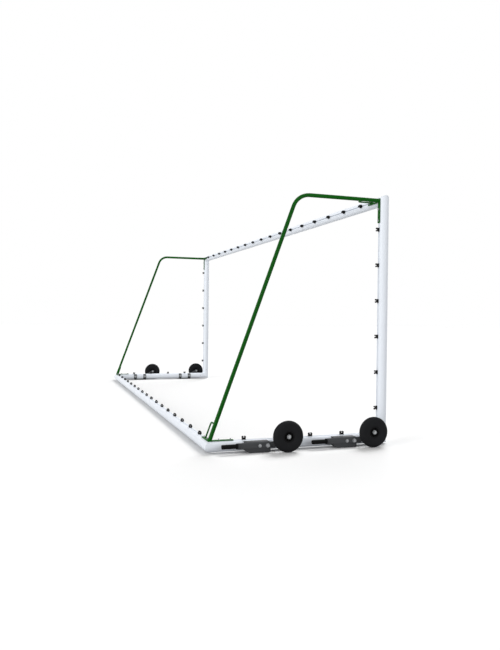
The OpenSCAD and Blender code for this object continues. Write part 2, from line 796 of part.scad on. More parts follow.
module lock_bolt(right, end) zinc() on_side(right) left_unit(end) union() {
  nut_x = web_x - bracket_t - slot_fit;
  hex_x(nut_x - back_nut_h, nut_x, lock_nut_af, lock_back, pivot_z);
  rod_x(nut_x - back_nut_h, lever_x1 + lock_washer_t, lock_d, lock_back, pivot_z);
  rod_x(lever_x1, lever_x1 + lock_washer_t, lock_washer_d, lock_back, pivot_z);
  hex_x(lever_x1 + lock_washer_t, lever_x1 + lock_washer_t + lock_hex_h, lock_hex_af, lock_back, pivot_z);
}

module axle_bolt(right, end) zinc() on_side(right) left_unit(end) union() {
  x1 = tyre_x0 + boss_w1 + side_play;
  hex_x(lever_x0 - back_nut_h, lever_x0, big_hex_af, -axle_reach, axle_z);
  rod_x(lever_x0 - back_nut_h, x1 + big_washer_t, axle_d, -axle_reach, axle_z);
  rod_x(x1, x1 + big_washer_t, big_washer_d, -axle_reach, axle_z);
  hex_x(x1 + big_washer_t, x1 + big_washer_t + big_hex_h, big_hex_af, -axle_reach, axle_z);
}

// Wheel pieces turn about local Z, which runs outwards from the tyre's inner side
module at_wheel(right, end) {
  on_side(right) left_unit(end) translate([tyre_x0, -axle_reach, axle_z]) rotate([0, 90, 0]) children();
}

module hub_section() {
  bore_r = axle_d / 2 + run_fit;
  disc_w = tyre_w / 2 - disc_t / 2;
  face_w = tyre_w - rim_inset;
  recess_r = recess_d / 2;
  translate([bore_r, boss_w0]) square([boss_d / 2 - bore_r, boss_w1 - boss_w0]);
  translate([bore_r, disc_w]) square([rim_r - rim_wall / 2 - bore_r, disc_t]);
  translate([rim_r - rim_wall, rim_inset]) square([rim_wall, face_w - rim_inset]);
  translate([recess_r, disc_w]) square([recess_wall, face_w - disc_w]);
  translate([recess_r, face_w - rim_wall]) square([rim_r - recess_r, rim_wall]);
}

module hub(right, end) black_moulding() at_wheel(right, end) union() {
  rotate_extrude() hub_section();
  for (i = [0:hub_rib_count - 1])
    rotate(i * 360 / hub_rib_count) translate([boss_d / 2 - beyond, -hub_rib_t / 2, tyre_w / 2])
      cube([(recess_d - boss_d) / 2 + 2 * beyond, hub_rib_t, boss_w1 - tyre_w / 2 - beyond]);
}

// Tyre section: round shoulders at the tread and round beads beside the rim
module tyre_section() {
  inner_r = rim_r + push_fit;
  shoulder_r = tyre_d / 2 - tyre_shoulder;
  bead_r = inner_r + tyre_bead;
  translate([bead_r, 0]) square([shoulder_r - bead_r, tyre_w]);
  translate([inner_r, tyre_bead]) square([shoulder_r - inner_r, tyre_w - 2 * tyre_bead]);
  translate([bead_r, tyre_shoulder]) square([tyre_d / 2 - bead_r, tyre_w - 2 * tyre_shoulder]);
  for (side = [0, 1]) translate([0, side * tyre_w]) mirror([0, side]) {
    translate([shoulder_r, tyre_shoulder]) circle(r = tyre_shoulder);
    translate([bead_r, tyre_bead]) circle(r = tyre_bead);
  }
}

module tyre(right, end) black_moulding() at_wheel(right, end) rotate_extrude() tyre_section();

crossbar();
post(false);  // left_post
post(true);  // right_post
side_bar(false);  // left_side_bar
side_bar(true);  // right_side_bar
rear_bar();
top_corner_inserts();
front_corner_inserts();
rear_corner_inserts();
corner_screws();
ballast_bar();
bow_bolts();
bow_tube(false);  // left_bow_tube
bow_top_plate(false);  // left_bow_top_plate
bow_foot_plate(false);  // left_bow_foot_plate
bow_braces(false);  // left_bow_braces
bow_tube(true);  // right_bow_tube
bow_top_plate(true);  // right_bow_top_plate
bow_foot_plate(true);  // right_bow_foot_plate
bow_braces(true);  // right_bow_braces
at_crossbar() clips(bar_clip_at);  // crossbar_clips
at_rear_bar() clips(bar_clip_at);  // rear_bar_clips
at_post() clips(post_clip_at);  // left_post_clips
on_side(true) at_post() clips(post_clip_at);  // right_post_clips
at_side_bar() clips(side_clip_at);  // left_side_clips
on_side(true) at_side_bar() clips(side_clip_at);  // right_side_clips
clamp_saddles();
bracket_bolts();
pivot_bolts();
bracket(false, front);  // left_front_bracket
lever(false, front);  // left_front_lever
grip(false, front);  // left_front_grip
lock_bolt(false, front);  // left_front_lock_bolt
axle_bolt(false, front);  // left_front_axle_bolt
hub(false, front);  // left_front_hub
tyre(false, front);  // left_front_tyre
bracket(false, rear);  // left_rear_bracket
lever(false, rear);  // left_rear_lever
grip(false, rear);  // left_rear_grip
lock_bolt(false, rear);  // left_rear_lock_bolt
axle_bolt(false, rear);  // left_rear_axle_bolt
hub(false, rear);  // left_rear_hub
tyre(false, rear);  // left_rear_tyre
bracket(true, front);  // right_front_bracket
lever(true, front);  // right_front_lever
grip(true, front);  // right_front_grip
lock_bolt(true, front);  // right_front_lock_bolt
axle_bolt(true, front);  // right_front_axle_bolt
hub(true, front);  // right_front_hub
tyre(true, front);  // right_front_tyre
bracket(true, rear);  // right_rear_bracket
lever(true, rear);  // right_rear_lever
grip(true, rear);  // right_rear_grip
lock_bolt(true, rear);  // right_rear_lock_bolt
axle_bolt(true, rear);  // right_rear_axle_bolt
hub(true, rear);  // right_rear_hub
tyre(true, rear);  // right_rear_tyre
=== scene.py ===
import json
from math import atan2, cos, pi, radians, sin

import bmesh
import bpy
from mathutils import Matrix, Vector


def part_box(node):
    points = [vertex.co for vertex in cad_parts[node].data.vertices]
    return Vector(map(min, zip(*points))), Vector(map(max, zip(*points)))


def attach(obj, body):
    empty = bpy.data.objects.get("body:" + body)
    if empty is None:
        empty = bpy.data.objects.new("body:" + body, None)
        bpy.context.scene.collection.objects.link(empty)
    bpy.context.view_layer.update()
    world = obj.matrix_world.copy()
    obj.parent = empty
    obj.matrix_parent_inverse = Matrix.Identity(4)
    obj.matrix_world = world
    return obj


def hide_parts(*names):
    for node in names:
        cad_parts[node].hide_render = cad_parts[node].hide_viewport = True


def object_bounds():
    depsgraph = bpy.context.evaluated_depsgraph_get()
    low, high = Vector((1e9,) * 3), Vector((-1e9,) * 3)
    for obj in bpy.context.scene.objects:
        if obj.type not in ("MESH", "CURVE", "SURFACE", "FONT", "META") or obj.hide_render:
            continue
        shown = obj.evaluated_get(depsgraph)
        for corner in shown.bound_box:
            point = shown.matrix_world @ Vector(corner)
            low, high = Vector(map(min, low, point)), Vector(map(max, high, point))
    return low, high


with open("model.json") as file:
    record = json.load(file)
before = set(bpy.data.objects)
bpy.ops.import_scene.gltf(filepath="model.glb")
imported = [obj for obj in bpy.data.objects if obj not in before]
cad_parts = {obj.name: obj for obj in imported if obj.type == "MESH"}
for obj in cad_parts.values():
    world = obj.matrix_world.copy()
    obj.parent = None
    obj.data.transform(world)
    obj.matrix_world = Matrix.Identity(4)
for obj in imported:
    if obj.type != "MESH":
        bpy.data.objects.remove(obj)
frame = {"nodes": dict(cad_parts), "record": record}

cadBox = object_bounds()
nodes = frame["nodes"]
sides = ["left", "right"]
units = ["left_front", "left_rear", "right_front", "right_rear"]
axisX = Vector((1, 0, 0))
axisY = Vector((0, 1, 0))
axisZ = Vector((0, 0, 1))


# Selection and modelling helpers

mergeDistance = 1e-5


def deselectAll():
    if bpy.context.object and bpy.context.object.mode != "OBJECT":
        bpy.ops.object.mode_set(mode="OBJECT")
    bpy.ops.object.select_all(action="DESELECT")


def makeActive(piece):
    deselectAll()
    piece.select_set(True)
    bpy.context.view_layer.objects.active = piece


def editAll(piece):
    makeActive(piece)
    bpy.ops.object.mode_set(mode="EDIT")
    bpy.ops.mesh.select_mode(type="VERT")
    bpy.ops.mesh.select_all(action="SELECT")


def selectFaces(piece, wanted):  # wanted(face) says which faces stay selected
    bpy.ops.mesh.select_mode(type="FACE")
    mesh = bmesh.from_edit_mesh(piece.data)
    for face in mesh.faces:
        face.select_set(wanted(face))
    mesh.select_flush_mode()
    bmesh.update_edit_mesh(piece.data)


def selectVerts(piece, wanted):
    bpy.ops.mesh.select_mode(type="VERT")
    bpy.ops.mesh.select_all(action="DESELECT")
    mesh = bmesh.from_edit_mesh(piece.data)
    for vert in mesh.verts:
        vert.select_set(wanted(vert))
    mesh.select_flush_mode()
    bmesh.update_edit_mesh(piece.data)


def facesUp(face):  # true for a face that looks along local Z
    return face.normal.z > 0.9


def smoothBelow(angle):  # soft shading where faces meet at less than the angle
    bpy.ops.object.shade_smooth_by_angle(angle=radians(angle))


def cleanUp(piece, smoothAngle=35):  # doubles merged, faces outwards, soft shading
    editAll(piece)
    bpy.ops.mesh.remove_doubles(threshold=mergeDistance)
    bpy.ops.mesh.normals_make_consistent(inside=False)
    bpy.ops.object.mode_set(mode="OBJECT")
    smoothBelow(smoothAngle)


def roundEdges(piece, width, angle=50):
    makeActive(piece)
    bevel = piece.modifiers.new("roundEdges", "BEVEL")
    bevel.width = width
    bevel.segments = 2
    bevel.limit_method = "ANGLE"
    bevel.angle_limit = radians(angle)
    bevel.use_clamp_overlap = False
    bpy.ops.object.modifier_apply(modifier=bevel.name)


def arc(centre, radius, start, end, steps):  # points on an arc, angles in degrees
    points = []
    for i in range(steps + 1):
        angle = radians(start + (end - start) * i / steps)
        points.append((centre[0] + radius * cos(angle), centre[1] + radius * sin(angle)))
    return points


def turned(name, outline, segments, ring=False):  # (radius, height) points, extruded ring by ring
    deselectAll()
    radius, height = outline[0]
    fill = "NOTHING" if ring else "NGON"
    bpy.ops.mesh.primitive_circle_add(vertices=segments, radius=radius, fill_type=fill)
    piece = bpy.context.object
    piece.name = name
    editAll(piece)
    bpy.ops.transform.translate(value=(0, 0, height))
    for nextRadius, nextHeight in outline[1:]:
        bpy.ops.mesh.extrude_region_move(TRANSFORM_OT_translate={"value": (0, 0, nextHeight - height)})
        grow = nextRadius / radius
        bpy.ops.transform.resize(value=(grow, grow, 1), center_override=(0, 0, nextHeight))
        radius, height = nextRadius, nextHeight
    cleanUp(piece)
    return piece


def copyOf(piece, name):
    twin = piece.copy()
    twin.data = piece.data.copy()
    twin.name = name
    bpy.context.collection.objects.link(twin)
    return twin


def mergedCopy(node, name):  # a node's copy, left in edit mode with its loose triangles merged
    piece = copyOf(nodes[node], name)
    piece.parent = None
    editAll(piece)
    bpy.ops.mesh.remove_doubles(threshold=mergeDistance)
    return piece


def along(origin, direction, turn=0):  # a place whose local Z follows the direction
    aim = direction.to_track_quat("Z", "Y").to_matrix().to_4x4()
    return Matrix.Translation(origin) @ aim @ Matrix.Rotation(turn, 4, "Z")


def settle(piece, place):  # puts the place into the mesh, so that the object sits at the origin
    makeActive(piece)
    piece.matrix_world = place
    bpy.ops.object.transform_apply(location=True, rotation=True, scale=True)
    return piece


def joined(name, pieces):
    makeActive(pieces[0])
    for piece in pieces:
        piece.select_set(True)
    bpy.ops.object.join()
    whole = bpy.context.object
    whole.name = name
    whole.data.name = name
    return whole


def discard(*pieces):
    for piece in pieces:
        bpy.data.objects.remove(piece, do_unlink=True)


def boxMiddle(box):
    return (box[0] + box[1]) / 2


def widthOf(box):
    return box[1].x - box[0].x


def islandsOf(node):  # the boxes of a node's separate solids, from a merged copy
    mesh = bmesh.new()
    mesh.from_mesh(nodes[node].data)
    bmesh.ops.remove_doubles(mesh, verts=mesh.verts, dist=mergeDistance)
    seen = set()
    boxes = []
    for first in mesh.verts:  # in the mesh's own order, so that every run finds them alike
        if first in seen:
            continue
        seen.add(first)
        group = [first]
        for vert in group:
            for edge in vert.link_edges:
                other = edge.other_vert(vert)
                if other not in seen:
                    seen.add(other)
                    group.append(other)
        corners = [[vert.co[i] for vert in group] for i in range(3)]
        boxes.append((Vector([min(c) for c in corners]), Vector([max(c) for c in corners])))
    mesh.free()
    return boxes


def outwards(unit):
    return -axisX if unit.startswith("left") else axisX


# Shader maths

class Wire:  # a socket that arithmetic can be written on
    def __init__(self, tree, socket=None):
        self.tree = tree
        self.socket = socket

    def plug(self, socket, value):
        if isinstance(value, Wire):
            self.tree.links.new(value.socket, socket)
        else:
            socket.default_value = value

    def add(self, kind, settings=None, inputs=None, output=0):
        node = self.tree.nodes.new(kind)
        for name, value in (settings or {}).items():
            setattr(node, name, value)
        for name, value in (inputs or {}).items():
            self.plug(node.inputs[name], value)
        return Wire(self.tree, node.outputs[output])

    def maths(self, operation, first, second):
        return self.add("ShaderNodeMath", {"operation": operation}, {0: first, 1: second})

    def __add__(self, other):
        return self.maths("ADD", self, other)

    def __radd__(self, other):
        return self.maths("ADD", other, self)

    def __sub__(self, other):
        return self.maths("SUBTRACT", self, other)

    def __rsub__(self, other):
        return self.maths("SUBTRACT", other, self)

    def __mul__(self, other):
        return self.maths("MULTIPLY", self, other)

    def __rmul__(self, other):
        return self.maths("MULTIPLY", other, self)

    def noise(self, scale, detail, roughness=0.5):
        return self.add("ShaderNodeTexNoise", None, {
            "Vector": self, "Scale": scale, "Detail": detail, "Roughness": roughness})

    def ramp(self, low, high):  # 0 at low, 1 at high
        return self.add("ShaderNodeMapRange", {"interpolation_type": "SMOOTHSTEP"}, {
            "Value": self, "From Min": low, "From Max": high})

    def blend(self, first, second):  # this value mixes two colours
        return self.add("ShaderNodeMix", {"data_type": "RGBA"}, {0: self, 6: first, 7: second}, 2)


def newFinish(name, fixed):
    material = bpy.data.materials.new(name)
    material.use_nodes = True
    tree = material.node_tree
    shader = tree.nodes["Principled BSDF"]
    for socket, value in fixed.items():
        shader.inputs[socket].default_value = value
    place = Wire(tree).add("ShaderNodeTexCoord", output="Object")
    return material, shader, place


def dress(shader, place, colour, roughness, height, bump):  # bump is its strength and distance
    strength, distance = bump
    relief = place.add("ShaderNodeBump", None, {
        "Height": height, "Strength": strength, "Distance": distance})
    place.plug(shader.inputs["Base Color"], colour)
    place.plug(shader.inputs["Roughness"], roughness)
    place.plug(shader.inputs["Normal"], relief)


def heightOf(place):
    return place.add("ShaderNodeSeparateXYZ", None, {0: place}, 2)


# Finishes: one function each, with what a user would change above it

whiteLook = {"clean": (0.855, 0.897, 0.96, 1), "shade": (0.835, 0.878, 0.942, 1),
             "dust": (0.66, 0.655, 0.62, 1), "dustHeight": (0.01, 0.09), "dustSpots": (0.5, 0.85),
             "dustShare": 0.35, "cloudScale": 1.7, "clouds": (0.35, 0.7), "speckScale": 60,
             "peelScale": 420, "coarsePeel": 0.25, "roughness": 0.36, "gloss": 0.25, "bump": (0.06, 0.0006)}


def whiteCoat():  # powder coat with orange peel, a little ground dust low down
    look = whiteLook
    material, shader, place = newFinish("whiteCoat", {"Specular IOR Level": look["gloss"]})
    cloud = place.noise(look["cloudScale"], 4)
    speck = place.noise(look["speckScale"], 5, 0.7)
    low = 1 - heightOf(place).ramp(*look["dustHeight"])
    dusty = (low * speck.ramp(*look["dustSpots"])) * look["dustShare"]
    paint = cloud.ramp(*look["clouds"]).blend(look["clean"], look["shade"])
    colour = dusty.blend(paint, look["dust"])
    roughness = look["roughness"] + 0.1 * speck + 0.2 * dusty
    fine = place.noise(look["peelScale"], 2)
    coarse = place.noise(look["peelScale"] * look["coarsePeel"], 2)
    dress(shader, place, colour, roughness, fine + 0.35 * coarse, look["bump"])
    return material


greenLook = {"base": (0.002, 0.094, 0.0027, 1), "deep": (0.0016, 0.076, 0.002, 1),
             "chalk": (0.02, 0.13, 0.022, 1), "cloudScale": 3, "speckScale": 90, "rubSpots": (0.62, 0.85),
             "rubClouds": (0.45, 0.75), "rubShare": 0.3, "peelScale": 520, "coarsePeel": 0.3,
             "roughness": 0.42, "gloss": 0.1, "bump": (0.08, 0.0006)}


def greenCoat():  # the bows' powder coat, chalked in places
    look = greenLook
    material, shader, place = newFinish("greenCoat", {"Specular IOR Level": look["gloss"]})
    cloud = place.noise(look["cloudScale"], 4)
    speck = place.noise(look["speckScale"], 4, 0.65)
    rubbed = speck.ramp(*look["rubSpots"]) * cloud.ramp(*look["rubClouds"]) * look["rubShare"]
    colour = rubbed.blend(cloud.blend(look["base"], look["deep"]), look["chalk"])
    roughness = look["roughness"] + 0.12 * speck
    fine = place.noise(look["peelScale"], 2)
    coarse = place.noise(look["peelScale"] * look["coarsePeel"], 2)
    dress(shader, place, colour, roughness, fine + 0.4 * coarse, look["bump"])
    return material


darkLook = {"base": (0.066, 0.069, 0.073, 1), "deep": (0.054, 0.056, 0.06, 1),
            "rub": (0.15, 0.152, 0.155, 1), "cloudScale": 9, "scratchStretch": (90, 9, 90),
            "scratchScale": 1.2, "rubSpots": (0.66, 0.8), "rubClouds": (0.45, 0.7), "rubShare": 0.4,
            "peelScale": 600, "roughness": 0.46, "gloss": 0.16, "bump": (0.1, 0.0005)}


def darkCoat():  # grey coat of brackets and levers, faintly rubbed along them
    look = darkLook
    material, shader, place = newFinish("darkCoat", {"Specular IOR Level": look["gloss"]})
    cloud = place.noise(look["cloudScale"], 4)
    stretched = place.add("ShaderNodeMapping", None, {"Vector": place, "Scale": look["scratchStretch"]})
    scratch = stretched.noise(look["scratchScale"], 5, 0.7)
    rubbed = scratch.ramp(*look["rubSpots"]) * cloud.ramp(*look["rubClouds"]) * look["rubShare"]
    colour = rubbed.blend(cloud.blend(look["base"], look["deep"]), look["rub"])
    roughness = look["roughness"] + 0.14 * cloud - 0.1 * rubbed
    peel = place.noise(look["peelScale"], 2)
    dress(shader, place, colour, roughness, peel + 0.3 * scratch, look["bump"])
    return material


zincLook = {"bright": (0.36, 0.37, 0.38, 1), "dull": (0.22, 0.23, 0.24, 1), "spangleScale": 240,
            "grimeScale": 180, "metallic": 0.75, "roughness": 0.36, "bump": (0.12, 0.0003)}


def zincPlate():  # plated fasteners with a fine spangle
    look = zincLook
    material, shader, place = newFinish("zincPlate", {"Metallic": look["metallic"]})
    cell = place.add("ShaderNodeTexVoronoi", None, {"Vector": place, "Scale": look["spangleScale"]}, "Color")
    tone = place.add("ShaderNodeSeparateColor", None, {0: cell})
    grime = place.noise(look["grimeScale"], 4, 0.65)
    colour = (0.6 * tone + 0.4 * grime).blend(look["bright"], look["dull"])
    roughness = look["roughness"] + 0.16 * tone + 0.08 * grime
    dress(shader, place, colour, roughness, grime, look["bump"])
    return material


blackLooks = {
    "clip_plastic": {"name": "clipNylon", "base": (0.006, 0.006, 0.0063, 1),
                     "sheen": (0.01, 0.01, 0.0105, 1),
                     "roughness": 0.42, "grainScale": 500, "gloss": 0.12},
    "hub_plastic": {"name": "hubNylon", "base": (0.0105, 0.0107, 0.0113, 1),
                    "sheen": (0.0145, 0.0147, 0.0153, 1),
                    "roughness": 0.7, "grainScale": 420, "gloss": 0.06},
    "grip_rubber": {"name": "gripRubber", "base": (0.004, 0.0041, 0.0043, 1),
                    "sheen": (0.0066, 0.0067, 0.0069, 1),
                    "roughness": 0.62, "grainScale": 650, "gloss": 0.07},
    "tyre_rubber": {"name": "tyreRubber", "base": (0.0136, 0.014, 0.0154, 1),
                    "sheen": (0.0176, 0.0181, 0.0197, 1),
                    "roughness": 0.66, "grainScale": 380, "gloss": 0.05},
}
blackGrain = {"cloudScale": 14, "bloom": (0.4, 0.75), "bloomShare": 0.5, "bump": (0.16, 0.0005)}


def blackMoulding(look):  # moulded black plastic or rubber with a fine grain
    material, shader, place = newFinish(look["name"], {"Specular IOR Level": look["gloss"]})
    cloud = place.noise(blackGrain["cloudScale"], 4)
    pore = place.noise(look["grainScale"], 3, 0.6)
    bloom = cloud.ramp(*blackGrain["bloom"]) * blackGrain["bloomShare"]
    colour = bloom.blend(look["base"], look["sheen"])
    dress(shader, place, colour, look["roughness"] + 0.12 * cloud, pore + 0.3 * cloud, blackGrain["bump"])
    return material


castLook = {"base": (0.56, 0.57, 0.58, 1), "pale": (0.68, 0.69, 0.7, 1), "sandScale": 300, "metallic": 0.8,
            "roughness": 0.5, "bump": (0.25, 0.0006)}


def castAlloy():  # sand-cast corner inserts
    look = castLook
    material, shader, place = newFinish("castAlloy", {"Metallic": look["metallic"]})
    sand = place.noise(look["sandScale"], 4, 0.6)
    colour = sand.blend(look["base"], look["pale"])
    dress(shader, place, colour, look["roughness"] + 0.2 * sand, sand, look["bump"])
    return material


ballastLook = {"base": (0.09, 0.088, 0.085, 1), "rust": (0.13, 0.105, 0.09, 1), "scaleScale": 45,
               "metallic": 0.5, "roughness": 0.6, "bump": (0.3, 0.001)}


def ballastIron():  # rolled bar with mill scale
    look = ballastLook
    material, shader, place = newFinish("ballastIron", {"Metallic": look["metallic"]})
    scale = place.noise(look["scaleScale"], 5, 0.65)
    colour = scale.blend(look["base"], look["rust"])
    dress(shader, place, colour, look["roughness"] + 0.2 * scale, scale, look["bump"])
    return material


finishes = {
    "white_profile": whiteCoat(),
    "green_steel": greenCoat(),
    "dark_steel": darkCoat(),
    "zinc_steel": zincPlate(),
    "cast_alloy": castAlloy(),
    "ballast_steel": ballastIron(),
}
for slot, look in blackLooks.items():
    finishes[slot] = blackMoulding(look)
print("finishes made:", len(finishes))


def finishPiece(piece, slot, body, *replaced):
    piece.data.materials.clear()
    piece.data.materials.append(finishes[slot])
    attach(piece, body)
    if replaced:
        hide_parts(*replaced)


for part in frame["record"]["subparts"]:
    shown = nodes[part["node"]]
    shown.data.materials.clear()
    shown.data.materials.append(finishes[part["material_slot"]])
print("finishes put on", len(nodes), "nodes")


# Wheels: tyre and hub are modelled once, upright on local Z, and copied to the four axles

tyreShape = {"shoulder": 0.04, "shoulderSteps": 16, "flank": 0.046, "flankDrop": 0.014, "flankSteps": 12,
             "segments": 96, "seamWidth": 0.0014, "seamHeight": 0.0006, "lineAt": 0.107,
             "lineWidth": 0.0015, "lineHeight": 0.0005, "lineSides": 8}
hubShape = {"rimEdge": 0.031, "rimInner": 0.05, "recess": 0.046, "boss": 0.025, "bossInset": 0.018,
            "disc": 0.005, "bore": 0.0101, "soft": 0.0018, "softBend": 0.3, "segments": 64,
            "smoothAngle": 30, "ribs": 8, "ribThick": 0.006, "ribDrop": 0.003, "ribDraft": 0.6,
            "ribSoft": 0.0008, "ribInBoss": 0.002, "ribInRim": 0.001, "ribInDisc": 0.0005}


def tyreOutline(radius, bore, half):  # a round crown with its seam, and flanks that fall to the rim
    shape = tyreShape
    shoulder = shape["shoulder"]
    tread = radius - shape["seamHeight"]
    upper = arc((tread - shoulder, half - shoulder), shoulder, 0, 90, shape["shoulderSteps"])
    for across, up in arc((0, 0), 1, 0, 90, shape["flankSteps"]):
        upper.append((bore + shape["flank"] * (1 - up), half - shape["flankDrop"] * (1 - across)))
    lower = [(across, -up) for across, up in reversed(upper)]
    seam = [(tread, -shape["seamWidth"]), (radius, 0), (tread, shape["seamWidth"])]
    return lower + seam + upper


def wheelTyre(radius, bore, half):
    shape = tyreShape
    outline = tyreOutline(radius, bore, half)
    pieces = [turned("tyreModel", outline + [outline[0]], shape["segments"], ring=True)]
    height = half + shape["lineHeight"] - shape["lineWidth"]
    for side in (-1, 1):  # a fine raised line round each wall
        deselectAll()
        bpy.ops.mesh.primitive_torus_add(
            major_radius=shape["lineAt"], minor_radius=shape["lineWidth"],
            major_segments=shape["segments"], minor_segments=shape["lineSides"])
        pieces.append(settle(bpy.context.object, Matrix.Translation((0, 0, side * height))))
    return joined("tyreModel", pieces)


def hubRib(length, tall):  # narrower at the top, as a mould needs
    shape = hubShape
    deselectAll()
    bpy.ops.mesh.primitive_cube_add(size=1)
    rib = settle(bpy.context.object, Matrix.Diagonal((length, shape["ribThick"], tall, 1)))
    editAll(rib)
    selectFaces(rib, facesUp)
    bpy.ops.transform.resize(value=(1, shape["ribDraft"], 1), center_override=(0, 0, tall / 2))
    roundEdges(rib, shape["ribSoft"])
    return rib


def wheelHub(radius, low, half):  # low is the boss's inner end, from the middle of the tyre
    shape = hubShape
    soft = shape["soft"]
    bend = soft * shape["softBend"]
    edge = shape["rimEdge"]
    rim = shape["rimInner"]
    recess = shape["recess"]
    disc = shape["disc"]
    boss = shape["boss"]
    high = half - shape["bossInset"]
    outline = [
        (shape["bore"], low), (boss - soft, low), (boss, low + soft), (boss, -disc),
        (rim, -disc), (rim, soft - edge), (rim + soft, -edge),
        (radius - soft, -edge), (radius, soft - edge), (radius, edge - soft), (radius - soft, edge),
        (recess + soft, edge), (recess + bend, edge - bend), (recess, edge - soft),
        (recess, disc + soft), (recess - soft, disc), (boss + soft, disc), (boss, disc + soft),
        (boss, high - soft), (boss - soft, high), (shape["bore"], high),
    ]
    pieces = [turned("hubModel", outline + [outline[0]], shape["segments"], ring=True)]
    inner = boss - shape["ribInBoss"]
    length = recess + shape["ribInRim"] - inner
    tall = high - shape["ribDrop"] - disc
    spot = Matrix.Translation((inner + length / 2, 0, disc + tall / 2 - shape["ribInDisc"]))
    ribModel = hubRib(length, tall)
    for i in range(shape["ribs"]):
        turn = Matrix.Rotation(2 * pi * i / shape["ribs"], 4, "Z")
        pieces.append(settle(copyOf(ribModel, "hubRib"), turn @ spot))
    discard(ribModel)
    return joined("hubModel", pieces)


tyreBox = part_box("left_front_tyre")
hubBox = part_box("left_front_hub")
tyreRadius = (tyreBox[1].z - tyreBox[0].z) / 2
tyreHalf = widthOf(tyreBox) / 2
hubRadius = (hubBox[1].z - hubBox[0].z) / 2
tyreModel = wheelTyre(tyreRadius, hubRadius, tyreHalf)
hubModel = wheelHub(hubRadius, boxMiddle(tyreBox).x - hubBox[1].x, tyreHalf)
for unit in units:
    place = along(boxMiddle(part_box(unit + "_tyre")), outwards(unit))
    tyre = settle(copyOf(tyreModel, unit + "_rubber_tyre"), place)
    hub = settle(copyOf(hubModel, unit + "_moulded_hub"), place)
    cleanUp(tyre)
    cleanUp(hub, hubShape["smoothAngle"])
    finishPiece(tyre, "tyre_rubber", unit + "_wheel", unit + "_tyre")
    finishPiece(hub, "hub_plastic", unit + "_wheel", unit + "_hub")
discard(tyreModel, hubModel)
print("wheels made:", len(units))


# Grips: a flange, round ribs and a closed end

gripShape = {"flange": 0.013, "flangeRadius": 0.028, "core": 0.0206, "ribs": 13, "ribRise": 0.0012,
             "ribStart": 0.002, "soft": 0.0025, "softSteps": 4, "endRadius": 0.003, "endTurn": 84,
             "endSteps": 6, "bore": 0.0121, "boreEnd": 0.008, "segments": 40}
ribProfile = [(0.12, 0), (0.3, 0.8), (0.5, 1), (0.7, 0.8), (0.88, 0)]  # shares of the pitch and the rise


def handleGrip(length):
    shape = gripShape
    core = shape["core"]
    soft = shape["soft"]
    steps = shape["softSteps"]
    rim = shape["flangeRadius"] - soft
    endRadius = shape["endRadius"]
    outline = [(shape["bore"], length - shape["boreEnd"]), (shape["bore"], 0)]
    outline += arc((rim, soft), soft, -90, 0, steps)
    outline += arc((rim, shape["flange"] - soft), soft, 0, 90, steps)
    outline.append((core, shape["flange"]))
    start = shape["flange"] + shape["ribStart"]
    pitch = (length - endRadius - start) / shape["ribs"]
    for i in range(shape["ribs"]):
        for part, rise in ribProfile:
            outline.append((core + rise * shape["ribRise"], start + (i + part) * pitch))
    outline += arc((core - endRadius, length - endRadius), endRadius, 0, shape["endTurn"], shape["endSteps"])
    return turned("gripModel", outline, shape["segments"])


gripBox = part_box("left_front_grip")
gripModel = handleGrip(gripBox[1].y - gripBox[0].y)
for unit in units:
    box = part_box(unit + "_grip")
    start = Vector((boxMiddle(box).x, box[0].y, boxMiddle(box).z))
    grip = settle(copyOf(gripModel, unit + "_ribbed_grip"), along(start, axisY))
    finishPiece(grip, "grip_rubber", unit + "_lever_arm", unit + "_grip")
discard(gripModel)
print("grips made:", len(units))


# Net clips: a pad on the land, a foot in the groove and two leaning hooks that open opposite ways

clipShape = {"padLength": 0.04, "padWidth": 0.028, "padThick": 0.006, "hook": 0.019, "hookBore": 0.0065,
             "hookThick": 0.014, "hookPitch": 0.011, "hookSteps": 22, "lean": 13, "gap": 50, "sink": 0.0085,
             "footLength": 0.02, "footWidth": 0.0176, "footThick": 0.004, "footSoft": 0.0006,
             "neck": 0.0086, "neckSoft": 0.0004, "lip": 0.0042, "soft": 0.0012, "smoothAngle": 35}


def roundedBlock(name, size, height, soft):  # a block with its middle at a height on local Z
    deselectAll()
    bpy.ops.mesh.primitive_cube_add(size=1)
    block = bpy.context.object
    block.name = name
    settle(block, Matrix.Translation((0, 0, height)) @ Matrix.Diagonal((*size, 1)))
    roundEdges(block, soft)
    return block


def clipHook(way):  # a thick ring, spun open by its gap, standing in the YZ plane
    shape = clipShape
    radius = (shape["hook"] + shape["hookBore"]) / 2
    wall = shape["hook"] - shape["hookBore"]
    deselectAll()
    bpy.ops.mesh.primitive_plane_add(size=1)
    hook = bpy.context.object
    settle(hook, Matrix.Translation((0, radius, 0)) @ Matrix.Diagonal((shape["hookThick"], wall, 1, 1)))
    editAll(hook)
    turn = radians(360 - shape["gap"])
    bpy.ops.mesh.spin(steps=shape["hookSteps"], angle=turn, center=(0, 0, 0), axis=(1, 0, 0))
    bpy.ops.mesh.select_all(action="SELECT")
    bpy.ops.mesh.remove_doubles(threshold=mergeDistance)
    bpy.ops.mesh.normals_make_consistent(inside=False)
    roundEdges(hook, shape["soft"])
    facing = 0 if way > 0 else pi - radians(shape["gap"])
    return settle(hook, Matrix.Rotation(facing, 4, "X"))


